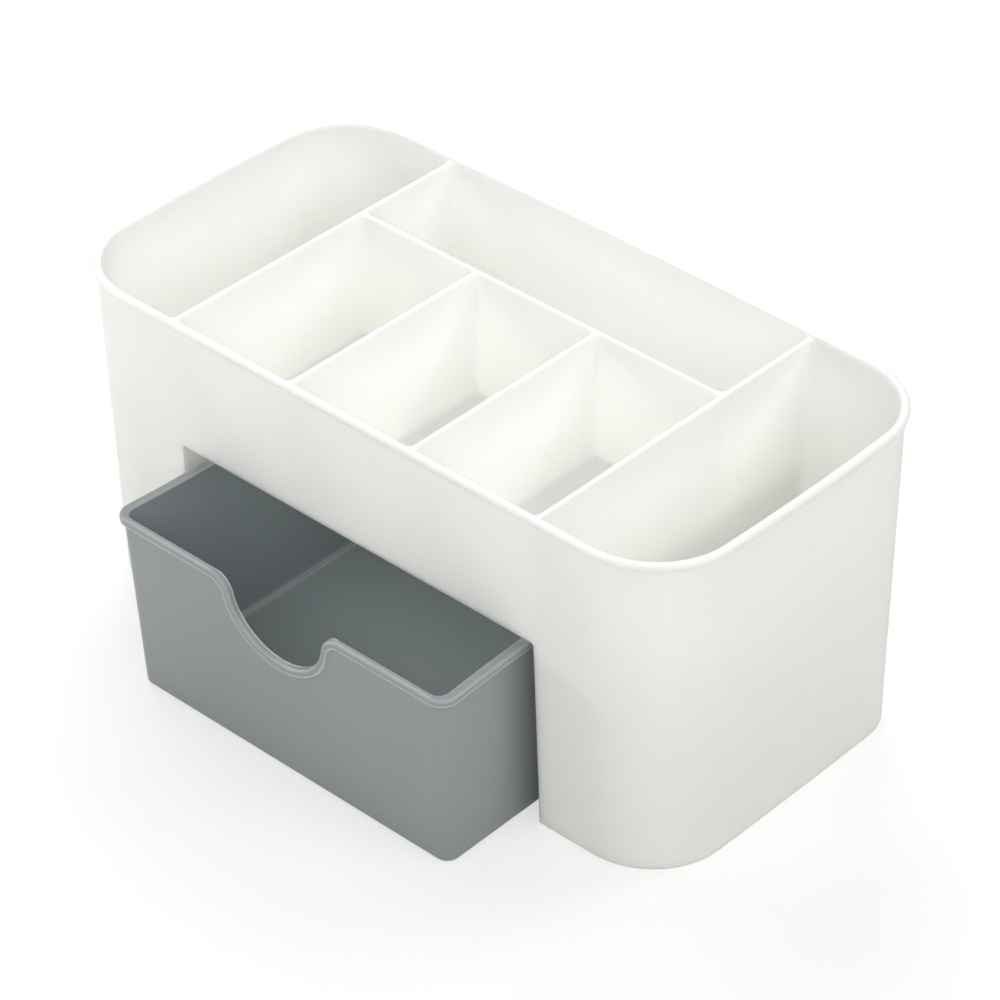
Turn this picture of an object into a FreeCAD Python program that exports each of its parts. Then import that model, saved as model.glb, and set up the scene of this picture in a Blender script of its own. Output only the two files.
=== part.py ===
import FreeCAD, Part
import math
import os

from FreeCAD import Vector

# A desk organizer moulded in two pieces: an open-topped housing and a drawer that slides under it.
# All sizes are millimetres. X runs along the length, -Y is the front, and Z = 0 is the table.

# Housing, outside
LENGTH = 220.0                # over the rim
DEPTH = 116.5                 # over the rim, at the middle of the back
HEIGHT = 104.5
RIM_HEIGHT = 2.2
RIM_OVERHANG = 1.2            # rim beyond the outside of the wall
RIM_INNER_ROUND = 0.6
RIM_LEDGE = 0.2               # rim's inside set back from the wall's inside
TOP_FRONT_RADIUS = 25.0       # outside of the wall, under the rim
TOP_BACK_RADIUS = 24.5
TOP_END_BOW = 1.8             # how far each end curves outward
BACK_BOW = 1.9                # how far the back curves outward
END_DRAFT = 1.8               # how far each face draws in from the rim to the foot
FRONT_DRAFT = 5.6
BACK_DRAFT = 2.6
FOOT_FRONT_RADIUS = 24.0
FOOT_BACK_RADIUS = 16.0
FOOT_END_BOW = 0.5
FOOT_ROUND = 0.8

# Housing, inside
WALL = 1.6
DIVIDER_TOP = 1.4             # thickness of a divider at its top edge
DIVIDER_DROP = 0.8            # divider tops below the rim
DIVIDER_DRAFT = 0.3           # how far each pocket face draws in from top to bottom
SIDE_DIVIDER_X = 65.0         # middle of the two dividers that also wall the drawer bay
LONG_DIVIDER_Y = 17.7         # middle of the divider that runs between them
FRONT_POCKETS = 3
SHELF_TOP = 64.2              # floor of the compartments above the drawer
SHELF_THICKNESS = 1.6
END_FLOOR = 2.0
POCKET_CORNER = 2.0
POCKET_FLOOR_ROUND = 1.5

# Drawer bay, open at the front and underneath
BAY_TOP_X = 64.0              # half width at the ceiling
BAY_FOOT_X = 64.8             # half width at the table
BAY_CORNER = 1.2

# Drawer
DRAWER_HEIGHT = 59.0
TABLE_GAP = 0.3               # drawer bottom above the table
DRAWER_FOOT_X = 57.6          # half width of the walls at the bottom
DRAWER_TOP_X = 59.2           # half width of the walls at the lip
DRAWER_FOOT_BOW = 0.2         # how far each side curves inward, at the bottom
DRAWER_TOP_BOW = 1.9          # and at the lip
DRAWER_FRONT_LEAN = 5.2       # how far the front leans out, from bottom to top
DRAWER_BACK_LEAN = 1.5
DRAWER_FOOT_RADIUS = 3.7
DRAWER_TOP_RADIUS = 4.6
DRAWER_WALL = 1.4
DRAWER_FLOOR = 1.6
DRAWER_FLOOR_ROUND = 2.0
DRAWER_FOOT_ROUND = 0.7
LIP_HEIGHT = 2.2
LIP_OVERHANG = 1.6            # at the sides and the back
LIP_FRONT_OVERHANG = 0.6
LIP_ROUND = 0.8               # outer top edge
LIP_INNER_ROUND = 0.5
FRONT_PROUD = 0.3             # closed drawer's lip beyond the housing's front
BACK_GAP = 1.5                # closed drawer's lip to the back of the bay
PULLED_OUT = 31.5             # from closed to where the drawer rests
DRAWER_ASIDE = 1.0            # how far right of the bay's middle it rests

# Finger scoop in the drawer's front
SCOOP_DEPTH = 20.0
SCOOP_RADIUS = 17.0
SCOOP_SHOULDER = 7.0

PAST = 1.0                    # how far a cutter runs past what it cuts
ROUND_STEPS = 3               # plans that make up a rounded bottom edge
WALL_STEPS = 8                # plans up a wall whose corner radius changes
WALL_TOP = HEIGHT - RIM_HEIGHT


def blend(low, high, share):
    return low + (high - low) * share


def arc_about(centre, radius, start, end):
    """Arc round centre from the direction of start to that of end, the short way."""
    first = (start - centre).normalize()
    last = (end - centre).normalize()
    middle = (first + last).normalize()
    return Part.Arc(centre + first * radius, centre + middle * radius, centre + last * radius).toShape()


def corner_centre(end_centre, end_reach, back_centre, back_reach):
    """Centre of the circle that is tangent inside both the end arc and the back arc, at +X and +Y."""
    across = back_centre - end_centre
    apart = across.Length
    along = (end_reach ** 2 - back_reach ** 2 + apart ** 2) / (2 * apart)
    aside = math.sqrt(end_reach ** 2 - along ** 2)
    unit = across.normalize()
    return end_centre + unit * along + Vector(-unit.y, unit.x, 0) * aside


def mirrored(point):
    return Vector(-point.x, point.y, point.z)


def housing_outline(z, inset=0.0):
    """The housing's plan at height z: a straight front, bowed ends and back, and four round corners."""
    share = z / WALL_TOP
    half_length = blend(LENGTH / 2 - RIM_OVERHANG - END_DRAFT, LENGTH / 2 - RIM_OVERHANG, share)
    front = -blend(DEPTH / 2 - RIM_OVERHANG - FRONT_DRAFT, DEPTH / 2 - RIM_OVERHANG, share)
    back = blend(DEPTH / 2 - RIM_OVERHANG - BACK_DRAFT, DEPTH / 2 - RIM_OVERHANG, share)
    front_radius = blend(FOOT_FRONT_RADIUS, TOP_FRONT_RADIUS, share)
    back_radius = blend(FOOT_BACK_RADIUS, TOP_BACK_RADIUS, share)
    end_bow = blend(FOOT_END_BOW, TOP_END_BOW, share)

    half_depth = (back - front) / 2
    end_radius = (half_depth ** 2 + end_bow ** 2) / (2 * end_bow)
    rear_radius = (half_length ** 2 + BACK_BOW ** 2) / (2 * BACK_BOW)
    end_centre = Vector(half_length - end_radius, (front + back) / 2, z)
    rear_centre = Vector(0, back - rear_radius, z)

    front_corner_y = front + front_radius
    front_reach = end_radius - front_radius
    rise = front_corner_y - end_centre.y
    front_corner = Vector(end_centre.x + math.sqrt(front_reach ** 2 - rise ** 2), front_corner_y, z)
    back_corner = corner_centre(end_centre, end_radius - back_radius, rear_centre, rear_radius - back_radius)

    line_end = Vector(front_corner.x, front + inset, z)
    toward_front = end_centre + (front_corner - end_centre) * 2
    toward_back = end_centre + (back_corner - end_centre) * 2
    toward_rear = rear_centre + (back_corner - rear_centre) * 2

    right_front = arc_about(front_corner, front_radius - inset, line_end, toward_front)
    right_end = arc_about(end_centre, end_radius - inset, toward_front, toward_back)
    right_back = arc_about(back_corner, back_radius - inset, toward_back, toward_rear)
    back_arc = arc_about(rear_centre, rear_radius - inset, toward_rear, mirrored(toward_rear))
    left_back = arc_about(mirrored(back_corner), back_radius - inset, mirrored(toward_rear), mirrored(toward_back))
    left_end = arc_about(mirrored(end_centre), end_radius - inset, mirrored(toward_back), mirrored(toward_front))
    left_front = arc_about(mirrored(front_corner), front_radius - inset, mirrored(toward_front), mirrored(line_end))
    front_line = Part.LineSegment(mirrored(line_end), line_end).toShape()
    edges = [front_line, right_front, right_end, right_back, back_arc, left_back, left_end, left_front]
    return Part.Wire(edges)


def rounded_levels(floor, top, radius, bands):
    """Heights with how far the plan is drawn in there: a rounded bottom edge, then evenly up to the top."""
    levels = []
    for step in range(ROUND_STEPS):
        angle = math.radians(90 * step / ROUND_STEPS)
        levels.append((floor + radius * (1 - math.cos(angle)), radius * (1 - math.sin(angle))))
    for band in range(bands + 1):
        levels.append((blend(floor + radius, top, band / bands), 0))
    return levels


def rectangle_face(x0, x1, y0, y1, z):
    corners = [Vector(x0, y0, z), Vector(x1, y0, z), Vector(x1, y1, z), Vector(x0, y1, z), Vector(x0, y0, z)]
    return Part.Face(Part.makePolygon(corners))


def rounded_plan(face, inset, radius):
    """Outline of a flat face drawn in by inset, with its sharp corners rounded."""
    return face.makeOffset2D(-radius - inset).Faces[0].makeOffset2D(radius).Faces[0].OuterWire


def edges_at_height(shape, z):
    """Edges that lie flat at height z."""
    near = 0.01
    return [e for e in shape.Edges if abs(e.BoundBox.ZMin - z) < near and abs(e.BoundBox.ZMax - z) < near]


def pocket(x0, x1, y0, y1, floor, bands=1):
    """The hollow of one compartment: what lies inside the wall between four drafted faces."""
    plans = []
    for z, inset in rounded_levels(floor, HEIGHT + PAST, POCKET_FLOOR_ROUND, bands):
        draw = DIVIDER_DRAFT * (HEIGHT - z) / (HEIGHT - floor)
        between = rectangle_face(x0 + draw, x1 - draw, y0 + draw, y1 - draw, z)
        inside = Part.Face(housing_outline(z, WALL)).common(between).Faces[0]
        plans.append(rounded_plan(inside, inset, POCKET_CORNER))
    return Part.makeLoft(plans, True, True)


def compartment_pockets():
    half = DIVIDER_TOP / 2
    inner_x = SIDE_DIVIDER_X - half
    outer_x = SIDE_DIVIDER_X + half
    pockets = [
        pocket(outer_x, LENGTH, -LENGTH, LENGTH, END_FLOOR, WALL_STEPS),
        pocket(-LENGTH, -outer_x, -LENGTH, LENGTH, END_FLOOR, WALL_STEPS),
        pocket(-inner_x, inner_x, LONG_DIVIDER_Y + half, LENGTH, SHELF_TOP),
    ]
    pitch = 2 * SIDE_DIVIDER_X / FRONT_POCKETS
    for i in range(FRONT_POCKETS):
        x0 = -SIDE_DIVIDER_X + i * pitch + half
        x1 = -SIDE_DIVIDER_X + (i + 1) * pitch - half
        pockets.append(pocket(x0, x1, -LENGTH, LONG_DIVIDER_Y - half, SHELF_TOP))
    return pockets


def drawer_bay():
    """The space that the drawer slides in, cut through the front wall and left open underneath."""
    ceiling = SHELF_TOP - SHELF_THICKNESS
    slope = (BAY_FOOT_X - BAY_TOP_X) / ceiling
    plans = []
    for z in (-PAST, ceiling):
        x = BAY_FOOT_X - slope * z
        inside = Part.Face(housing_outline(z, WALL)).common(rectangle_face(-x, x, 0, LENGTH, z)).Faces[0]
        plans.append(inside.fuse(rectangle_face(-x, x, -LENGTH, 0, z)).removeSplitter().Faces[0].OuterWire)
    bay = Part.makeLoft(plans, True, True)
    top_corners = [e for e in edges_at_height(bay, ceiling) if e.BoundBox.YLength > DEPTH]
    return bay.makeFillet(BAY_CORNER, top_corners)


def rim_plan(z, inset):
    """The housing's plan under the rim, moved in by inset and set at height z."""
    plan = housing_outline(WALL_TOP, inset)
    plan.translate(Vector(0, 0, z - WALL_TOP))
    return plan


def rim():
    """The rolled lip round the top, a half round outside."""
    radius = RIM_HEIGHT / 2
    plans = []
    for step in range(-ROUND_STEPS, ROUND_STEPS + 1):
        angle = math.radians(90 * step / ROUND_STEPS)
        inset = radius * (1 - math.cos(angle)) - RIM_OVERHANG
        plans.append(rim_plan(HEIGHT - radius + radius * math.sin(angle), inset))
    return Part.makeLoft(plans, True, True)


def rim_mouth():
    """The hollow inside the rim above the dividers, its upper edge rounded outward."""
    inset = WALL - RIM_LEDGE
    plans = [rim_plan(HEIGHT - DIVIDER_DROP, inset)]
    for step in range(ROUND_STEPS + 1):
        angle = math.radians(90 * step / ROUND_STEPS)
        z = HEIGHT - RIM_INNER_ROUND * (1 - math.sin(angle))
        plans.append(rim_plan(z, inset - RIM_INNER_ROUND * (1 - math.cos(angle))))
    plans.append(rim_plan(HEIGHT + PAST, inset - RIM_INNER_ROUND))
    return Part.makeLoft(plans, True, True)


def make_housing():
    plans = [housing_outline(z, inset) for z, inset in rounded_levels(0, WALL_TOP, FOOT_ROUND, WALL_STEPS)]
    body = Part.makeLoft(plans, True, True).fuse(rim()).cut(rim_mouth())
    for hollow in compartment_pockets() + [drawer_bay()]:
        body = body.cut(hollow)
    return body


def drawer_front(z):
    """Outside of the closed drawer's front wall at height z above its bottom."""
    at_lip = -(DEPTH / 2 - RIM_OVERHANG) + FRONT_DRAFT * (1 - (TABLE_GAP + DRAWER_HEIGHT) / WALL_TOP)
    top = at_lip - FRONT_PROUD + LIP_FRONT_OVERHANG
    return blend(top + DRAWER_FRONT_LEAN, top, z / DRAWER_HEIGHT)


def drawer_back(z):
    """Outside of the closed drawer's back wall at height z above its bottom."""
    bay_back = DEPTH / 2 - RIM_OVERHANG - WALL - BACK_DRAFT * (1 - (TABLE_GAP + DRAWER_HEIGHT) / WALL_TOP)
    corner_bow = BACK_BOW * (DRAWER_TOP_X / (LENGTH / 2)) ** 2
    top = bay_back - corner_bow - BACK_GAP - LIP_OVERHANG
    return blend(top - DRAWER_BACK_LEAN, top, z / DRAWER_HEIGHT)


def drawer_face(x, y0, y1, bow, z):
    """The drawer's plan with sharp corners: a straight front and back, and sides that curve inward."""
    front = Vector(x, y0, z)
    back = Vector(x, y1, z)
    waist = Vector(x - bow, (y0 + y1) / 2, z)
    sides = [Part.Arc(front, waist, back).toShape(), Part.Arc(mirrored(back), mirrored(waist), mirrored(front)).toShape()]
    across = [Part.makeLine(back, mirrored(back)), Part.makeLine(mirrored(front), front)]
    return Part.Face(Part.Wire([sides[0], across[0], sides[1], across[1]]))


def drawer_block(levels, side, front):
    """The drawer's form through levels above its bottom, moved out by side and front."""
    plans = []
    for z, inset in levels:
        share = z / DRAWER_HEIGHT
        x = blend(DRAWER_FOOT_X, DRAWER_TOP_X, share) + side
        bow = blend(DRAWER_FOOT_BOW, DRAWER_TOP_BOW, share)
        face = drawer_face(x, drawer_front(z) - front, drawer_back(z) + side, bow, z + TABLE_GAP)
        plans.append(rounded_plan(face, inset, blend(DRAWER_FOOT_RADIUS, DRAWER_TOP_RADIUS, share) + front))
    return Part.makeLoft(plans, True, True)


def scoop_face(grow):
    """The scoop seen from the front, moved out by grow: a round bottom that runs into two round shoulders."""
    top = TABLE_GAP + DRAWER_HEIGHT
    bowl_z = top - SCOOP_DEPTH + SCOOP_RADIUS
    shoulder_z = top - SCOOP_SHOULDER
    shoulder_x = math.sqrt((SCOOP_RADIUS + SCOOP_SHOULDER) ** 2 - (bowl_z - shoulder_z) ** 2)
    bowl = Vector(0, 0, bowl_z)
    shoulder = Vector(shoulder_x, 0, shoulder_z)
    crest = Vector(shoulder_x, 0, top - grow)
    meet = bowl + (shoulder - bowl).normalize() * (SCOOP_RADIUS + grow)
    ceiling = top + PAST
    right = arc_about(shoulder, SCOOP_SHOULDER - grow, meet, crest)
    bottom = Part.Arc(mirrored(meet), bowl - Vector(0, 0, SCOOP_RADIUS + grow), meet).toShape()
    left = arc_about(mirrored(shoulder), SCOOP_SHOULDER - grow, mirrored(crest), mirrored(meet))
    over = Part.makePolygon([crest, Vector(shoulder_x, 0, ceiling), Vector(-shoulder_x, 0, ceiling), mirrored(crest)])
    return Part.Face(Part.Wire([left, bottom, right] + over.Edges))


def laid_on_front(face, depth):
    """The face tilted to lie along the lip's leaning front, depth behind it."""
    top = Vector(0, drawer_front(DRAWER_HEIGHT) - LIP_FRONT_OVERHANG, TABLE_GAP + DRAWER_HEIGHT)
    lean = math.degrees(math.atan2(DRAWER_FRONT_LEAN, DRAWER_HEIGHT))
    moved = face.translated(Vector(0, top.y + depth, 0))
    return moved.rotated(top, Vector(1, 0, 0), lean)


def through_drawer_front(face):
    """The face swept through the drawer's front wall only."""
    start = laid_on_front(face, -DRAWER_TOP_RADIUS)
    across = laid_on_front(face, DRAWER_TOP_RADIUS).Faces[0].CenterOfMass - start.Faces[0].CenterOfMass
    return start.extrude(across)


def rounding(radius):
    """Steps of a quarter round: how far in from the face it starts on, and how much it takes off there."""
    steps = []
    for step in range(ROUND_STEPS + 1):
        angle = math.radians(90 * step / ROUND_STEPS)
        steps.append((radius * (1 - math.sin(angle)), radius * (1 - math.cos(angle))))
    return steps


def make_drawer():
    lip_levels = [(DRAWER_HEIGHT - LIP_HEIGHT, 0)]
    lip_levels += [(DRAWER_HEIGHT - below, inset) for below, inset in rounding(LIP_ROUND)]
    walls = drawer_block(rounded_levels(0, DRAWER_HEIGHT, DRAWER_FOOT_ROUND, WALL_STEPS), 0, 0)
    cavity_levels = rounded_levels(DRAWER_FLOOR, DRAWER_HEIGHT - LIP_INNER_ROUND, DRAWER_FLOOR_ROUND, WALL_STEPS)[:-1]
    cavity_levels += [(DRAWER_HEIGHT - below, -widened) for below, widened in rounding(LIP_INNER_ROUND)]
    cavity_levels.append((DRAWER_HEIGHT + PAST, -LIP_INNER_ROUND))
    cavity = drawer_block(cavity_levels, -DRAWER_WALL, -DRAWER_WALL)
    lip = drawer_block(lip_levels, LIP_OVERHANG, LIP_FRONT_OVERHANG)
    grown = drawer_block([(0, 0), (DRAWER_HEIGHT, 0)], LIP_OVERHANG, LIP_FRONT_OVERHANG)
    scoop = through_drawer_front(scoop_face(0))
    scoop_lip = through_drawer_front(scoop_face(LIP_HEIGHT).cut(scoop_face(0)))
    flare_plans = [laid_on_front(scoop_face(LIP_ROUND), -PAST).OuterWire]
    flare_plans += [laid_on_front(scoop_face(taken), depth).OuterWire for taken, depth in rounding(LIP_ROUND)]
    flare = Part.makeLoft(flare_plans, True, True)
    return walls.fuse(lip).cut(scoop).fuse(grown.common(scoop_lip)).cut(flare).cut(cavity)


def middle_of_depth():
    """Middle of the depth that the housing and the drawer take up together, with the drawer at rest."""
    front = drawer_front(DRAWER_HEIGHT) - LIP_FRONT_OVERHANG - PULLED_OUT
    return (front + DEPTH / 2) / 2


def main():
    os.makedirs("parts", exist_ok=True)
    housing = make_housing()
    drawer = make_drawer()
    housing.translate(Vector(0, -middle_of_depth(), 0))
    drawer.translate(Vector(DRAWER_ASIDE, -PULLED_OUT - middle_of_depth(), 0))
    housing.exportStep("parts/housing.step")
    drawer.exportStep("parts/drawer.step")


main()
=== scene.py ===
import bpy
import math
from mathutils import Matrix, Vector

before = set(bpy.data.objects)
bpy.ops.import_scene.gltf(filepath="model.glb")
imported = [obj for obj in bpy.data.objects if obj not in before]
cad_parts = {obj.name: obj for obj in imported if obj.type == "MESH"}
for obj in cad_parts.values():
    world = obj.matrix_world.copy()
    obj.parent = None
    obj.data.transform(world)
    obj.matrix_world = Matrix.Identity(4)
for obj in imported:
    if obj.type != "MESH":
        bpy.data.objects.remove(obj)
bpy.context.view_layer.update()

# Lengths are in metres and angles in degrees, unless a line says otherwise.

MIDDLE_Y = 0.01412307          # the housing's middle lies this far behind the frame's origin
BAY_CEILING = 0.0623           # the drawer's bay ends at this height
LIGHT_BOUNCES = 12             # pale plastic passes light on many times inside a compartment
WHITE = (1, 1, 1, 1)


# Materials

PLASTIC_IOR = 1.49
CLOUD_SCALE = 14.0             # slow changes of tone, some centimetres across
CLOUD_DETAIL = 3.0
CLOUD_EDGES = (0.3, 0.7)       # at these noise values the tone is all shade and all tint
SPECKLE_SCALE = 1800.0         # the mould's grain, about half a millimetre
SPECKLE_DETAIL = 2.0
SPECKLE_SHEEN = 0.04           # roughness rises and falls by this much with the grain
GRAIN_DEPTH = 0.0001
EDGE_SAMPLES = 8
HIGHLIGHT_REACH = 0.0008            # painted highlights reach this far to each side of an edge
HIGHLIGHT_ALIKE = (0.995, 0.95)     # cosine of true and rounded normal, where the painted highlight starts and is full
GLOW_COLOURS = (1.0, 1.0, 0.9)    # blue light goes a little less far through the plastic


def new_material(name):
    material = bpy.data.materials.new(name)
    material.use_nodes = True
    nodes = material.node_tree.nodes
    nodes.clear()
    return material, nodes, material.node_tree.links


def noise(nodes, links, place, scale, detail):
    texture = nodes.new("ShaderNodeTexNoise")
    texture.inputs["Scale"].default_value = scale
    texture.inputs["Detail"].default_value = detail
    links.new(place.outputs["Object"], texture.inputs["Vector"])
    return texture


def rounded_edges(nodes, reach):
    """Normals as if each edge were rounded over reach."""
    rounded = nodes.new("ShaderNodeBevel")
    rounded.samples = EDGE_SAMPLES
    rounded.inputs["Radius"].default_value = reach
    return rounded


def painted_edge_highlights(nodes, links, tones, highlight_tone):
    """Painted highlights on edges: where the surface turns within the reach set above, tones go over
    to a lighter tone.
    """
    rounded = rounded_edges(nodes, HIGHLIGHT_REACH)
    own = nodes.new("ShaderNodeNewGeometry")
    alike = nodes.new("ShaderNodeVectorMath")
    alike.operation = "DOT_PRODUCT"
    links.new(rounded.outputs["Normal"], alike.inputs[0])
    links.new(own.outputs["Normal"], alike.inputs[1])
    highlight_mask = nodes.new("ShaderNodeMapRange")
    highlight_mask.inputs["From Min"].default_value, highlight_mask.inputs["From Max"].default_value = HIGHLIGHT_ALIKE
    links.new(alike.outputs["Value"], highlight_mask.inputs["Value"])
    mixed = nodes.new("ShaderNodeMixRGB")
    mixed.inputs["Color2"].default_value = (*highlight_tone, 1)
    links.new(highlight_mask.outputs["Result"], mixed.inputs["Fac"])
    links.new(tones, mixed.inputs["Color1"])
    return mixed.outputs["Color"]


def moulded_plastic(name, shade, tint, roughness, gloss, grain,
                    soft_edge=0.0, glow=0.0, glow_reach=0.001, highlight_tone=None):
    """Injection-moulded plastic: two close tones in soft clouds and a fine matt grain. With soft_edge,
    edges look rounded over that length, with glow, light bleeds through by about glow_reach, and with
    a lighter edge tone, edges get a painted highlight in that tone."""
    material, nodes, links = new_material(name)
    output = nodes.new("ShaderNodeOutputMaterial")
    plastic = nodes.new("ShaderNodeBsdfPrincipled")
    place = nodes.new("ShaderNodeTexCoord")

    clouds = noise(nodes, links, place, CLOUD_SCALE, CLOUD_DETAIL)
    tones = nodes.new("ShaderNodeValToRGB")
    for element, position, tone in zip(tones.color_ramp.elements, CLOUD_EDGES, (shade, tint)):
        element.position = position
        element.color = (*tone, 1)
    links.new(clouds.outputs["Fac"], tones.inputs["Fac"])
    colour = tones.outputs["Color"]
    # painted highlights along the edges
    if highlight_tone:
        colour = painted_edge_highlights(nodes, links, colour, highlight_tone)
    links.new(colour, plastic.inputs["Base Color"])

    speckle = noise(nodes, links, place, SPECKLE_SCALE, SPECKLE_DETAIL)
    sheen = nodes.new("ShaderNodeMapRange")
    sheen.inputs["To Min"].default_value = roughness - SPECKLE_SHEEN
    sheen.inputs["To Max"].default_value = roughness + SPECKLE_SHEEN
    links.new(speckle.outputs["Fac"], sheen.inputs["Value"])
    links.new(sheen.outputs["Result"], plastic.inputs["Roughness"])
    bump = nodes.new("ShaderNodeBump")
    bump.inputs["Strength"].default_value = grain
    bump.inputs["Distance"].default_value = GRAIN_DEPTH
    links.new(speckle.outputs["Fac"], bump.inputs["Height"])
    if soft_edge:
        rounded = rounded_edges(nodes, soft_edge)
        links.new(rounded.outputs["Normal"], bump.inputs["Normal"])
    links.new(bump.outputs["Normal"], plastic.inputs["Normal"])

    plastic.inputs["IOR"].default_value = PLASTIC_IOR
    plastic.inputs["Specular IOR Level"].default_value = gloss
    plastic.inputs["Subsurface Weight"].default_value = glow
    plastic.inputs["Subsurface Scale"].default_value = glow_reach
    plastic.inputs["Subsurface Radius"].default_value = GLOW_COLOURS
    links.new(plastic.outputs["BSDF"], output.inputs["Surface"])
    return material


ivory = moulded_plastic(
    "ivory_plastic", shade=(0.936, 0.936, 0.906), tint=(0.950, 0.950, 0.921),
    roughness=0.42, gloss=0.25, grain=0.2, soft_edge=0.0004, glow=1.0, glow_reach=0.003)
# the grey's lighter edge tone paints highlights along its lip and edges
grey = moulded_plastic(
    "grey_plastic", shade=(0.297, 0.327, 0.343), tint=(0.321, 0.352, 0.368),
    roughness=0.32, gloss=0.5, grain=0.02, highlight_tone=(0.64, 0.675, 0.68))

for node, material in (("housing", ivory), ("drawer", grey)):
    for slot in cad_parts[node].material_slots:
        slot.material = material


# Floor and surroundings: the camera sees them white, apart from the object's shadow

FLOOR_SIZE = 6.0
FLOOR_COLOUR = (0.8, 0.785, 0.73, 1)      # what the light meets
FLOOR_SEEN = (0.46, 0.46, 0.46, 1)        # what the camera sees near the object, lifted by FLOOR_LIFT
FLOOR_LIFT = 0.56
SHADOW_FADES = (0.16, 0.42)               # between these distances the seen floor fades to plain white


def by_kind_of_ray(nodes, links, output, plain, seen):
    """Camera rays meet the shader seen, and all other rays the shader plain."""
    ray = nodes.new("ShaderNodeLightPath")
    choose = nodes.new("ShaderNodeMixShader")
    links.new(ray.outputs["Is Camera Ray"], choose.inputs["Fac"])
    links.new(plain, choose.inputs[1])
    links.new(seen, choose.inputs[2])
    links.new(choose.outputs["Shader"], output.inputs["Surface"])


def white_floor():
    bpy.ops.mesh.primitive_plane_add(size=FLOOR_SIZE, location=(0, 0, 0))
    floor = bpy.context.object
    floor.name = "floor"
    material, nodes, links = new_material("floor_white")
    output = nodes.new("ShaderNodeOutputMaterial")
    matt = nodes.new("ShaderNodeBsdfDiffuse")
    matt.inputs["Color"].default_value = FLOOR_COLOUR
    seen_matt = nodes.new("ShaderNodeBsdfDiffuse")
    seen_matt.inputs["Color"].default_value = FLOOR_SEEN
    lift = nodes.new("ShaderNodeEmission")
    lift.inputs["Strength"].default_value = FLOOR_LIFT
    near = nodes.new("ShaderNodeAddShader")
    links.new(seen_matt.outputs["BSDF"], near.inputs[0])
    links.new(lift.outputs["Emission"], near.inputs[1])
    white = nodes.new("ShaderNodeEmission")
    place = nodes.new("ShaderNodeTexCoord")
    distance = nodes.new("ShaderNodeVectorMath")
    distance.operation = "LENGTH"
    links.new(place.outputs["Object"], distance.inputs[0])
    fade = nodes.new("ShaderNodeMapRange")
    fade.interpolation_type = "SMOOTHSTEP"
    fade.inputs["From Min"].default_value, fade.inputs["From Max"].default_value = SHADOW_FADES
    links.new(distance.outputs["Value"], fade.inputs["Value"])
    seen = nodes.new("ShaderNodeMixShader")
    links.new(fade.outputs["Result"], seen.inputs["Fac"])
    links.new(near.outputs["Shader"], seen.inputs[1])
    links.new(white.outputs["Emission"], seen.inputs[2])
    by_kind_of_ray(nodes, links, output, matt.outputs["BSDF"], seen.outputs["Shader"])
    floor.data.materials.append(material)


def white_surroundings(strength):
    """A weak even light from all round."""
    world = bpy.data.worlds.new("surroundings")
    bpy.context.scene.world = world
    world.use_nodes = True
    nodes = world.node_tree.nodes
    links = world.node_tree.links
    nodes.clear()
    output = nodes.new("ShaderNodeOutputWorld")
    soft_light = nodes.new("ShaderNodeBackground")
    soft_light.inputs["Strength"].default_value = strength
    soft_light.inputs["Color"].default_value = WHITE
    white = nodes.new("ShaderNodeBackground")
    white.inputs["Color"].default_value = WHITE
    by_kind_of_ray(nodes, links, output, soft_light.outputs["Background"], white.outputs["Background"])


# Lamps: round soft boxes on all sides, and one weak lamp in the drawer's bay

LAMP_AIM = Vector((0, 0, 0.04))
SOFT_BOXES = (
    # name, azimuth, elevation, distance, diameter, watts
    ("by_the_camera", 41, 35, 1.4, 1.0, 5.3),
    ("front", 0, 40, 1.4, 1.0, 3.4),
    ("near_front_left", -55, 16, 0.65, 0.3, 0.89),
    ("right", 95, 45, 1.4, 1.0, 5.35),
    ("left", -100, 55, 1.4, 1.0, 6.25),
    ("behind_left", -139, 40, 1.4, 0.6, 5.7),
    ("behind_right", 150, 50, 1.4, 0.5, 3.8),
)
BAY_LAMP_SIZE = (0.12, 0.104)             # most of the bay's ceiling
BAY_LAMP_DROP = 0.0005                    # it hangs this far below the ceiling
BAY_LAMP_COLOUR = (0.95, 1.0, 0.92)
BAY_LAMP_WATTS = 0.0209


def direction(azimuth, elevation):
    """Unit vector that way: azimuth 0 is the front, 90 the right-hand end."""
    turn = math.radians(azimuth)
    rise = math.radians(elevation)
    level = math.cos(rise)
    return Vector((math.sin(turn) * level, -math.cos(turn) * level, math.sin(rise)))


def area_lamp(name, shape, size, watts):
    """A lamp that the camera doesn't see."""
    data = bpy.data.lights.new(name, "AREA")
    data.shape = shape
    data.size = size
    data.energy = watts
    lamp = bpy.data.objects.new(name, data)
    lamp.visible_camera = False
    bpy.context.scene.collection.objects.link(lamp)
    return lamp


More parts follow.
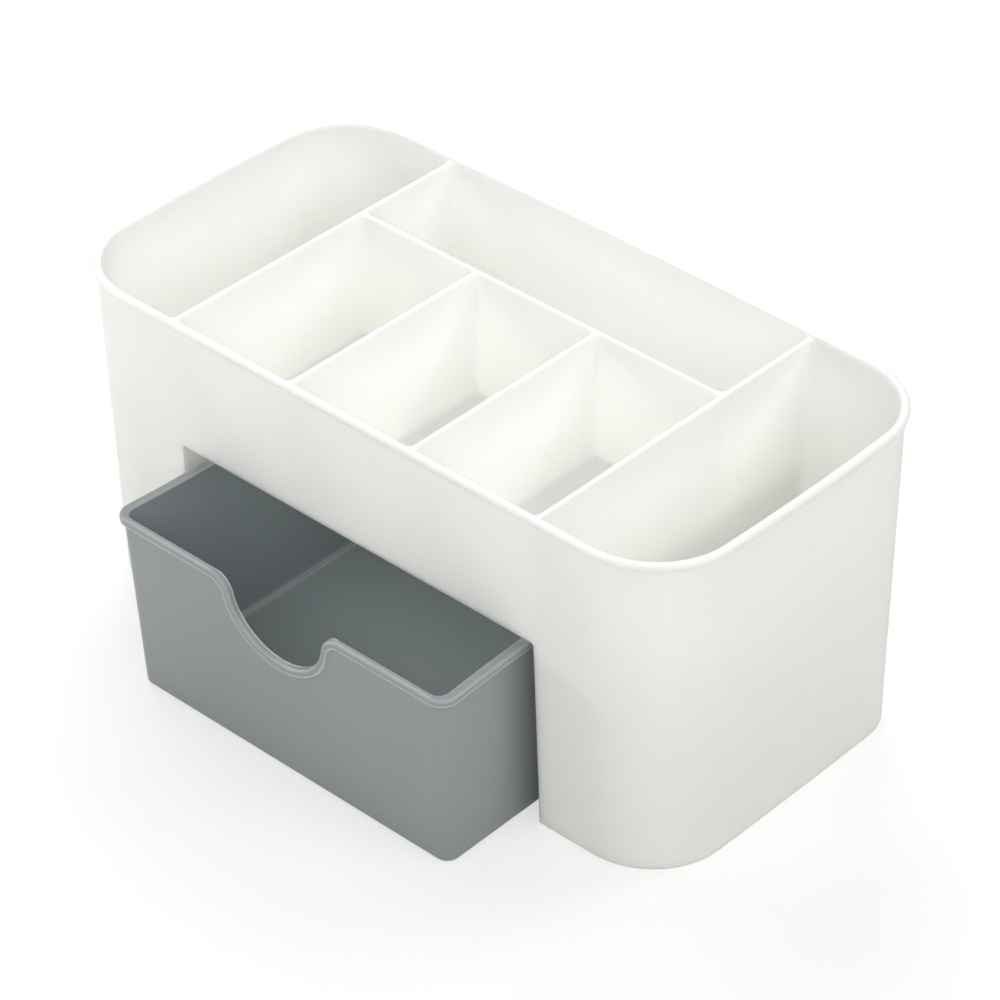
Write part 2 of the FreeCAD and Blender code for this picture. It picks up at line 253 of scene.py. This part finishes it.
def light_through_the_ceiling():
    """The daylight that the thin pale floors of the compartments let through into the drawer's bay."""
    lamp = area_lamp("through_the_ceiling", "RECTANGLE", BAY_LAMP_SIZE[0], BAY_LAMP_WATTS)
    lamp.data.size_y = BAY_LAMP_SIZE[1]
    lamp.data.color = BAY_LAMP_COLOUR
    lamp.location = (0, MIDDLE_Y, BAY_CEILING - BAY_LAMP_DROP)


def soft_box(name, azimuth, elevation, distance, diameter, watts):
    lamp = area_lamp(name, "DISK", diameter, watts)
    lamp.location = direction(azimuth, elevation) * distance
    lamp.rotation_euler = (LAMP_AIM - lamp.location).to_track_quat("-Z", "Y").to_euler()


white_floor()
white_surroundings(0.05)
light_through_the_ceiling()
for box in SOFT_BOXES:
    soft_box(*box)


# Camera: where the photograph was taken from

AZIMUTH = 41.427
ELEVATION = 36.412
ROLL = math.radians(0.916)
FOCAL = 4.1                               # focal length over the picture's width
DISTANCE = 1.12662
TARGET = Vector((0, MIDDLE_Y, 0.05))
TARGET_SEEN = (-0.0092007, 0.0096855)     # right of and above the picture's middle, in picture widths
SENSOR = 36.0                             # millimetres
VIEW_RANGE = (0.05, 20.0)                 # nearest and farthest that the camera sees

back = direction(AZIMUTH, ELEVATION)
level_right = direction(AZIMUTH + 90, 0)
level_up = back.cross(level_right)
right = level_right * math.cos(ROLL) + level_up * math.sin(ROLL)
up = level_up * math.cos(ROLL) - level_right * math.sin(ROLL)
aside = TARGET_SEEN[0] / FOCAL * DISTANCE
above = TARGET_SEEN[1] / FOCAL * DISTANCE
eye = TARGET - (right * aside + up * above - back * DISTANCE)

camera_data = bpy.data.cameras.new("camera")
camera_data.sensor_width = SENSOR
camera_data.lens = SENSOR * FOCAL
camera_data.clip_start, camera_data.clip_end = VIEW_RANGE
camera = bpy.data.objects.new("camera", camera_data)
axes = Matrix((right, up, back)).transposed()
camera.matrix_world = Matrix.Translation(eye) @ axes.to_4x4()

scene = bpy.context.scene
scene.collection.objects.link(camera)
scene.camera = camera
scene.view_settings.view_transform = "Standard"
scene.cycles.diffuse_bounces = LIGHT_BOUNCES
scene.cycles.max_bounces = LIGHT_BOUNCES
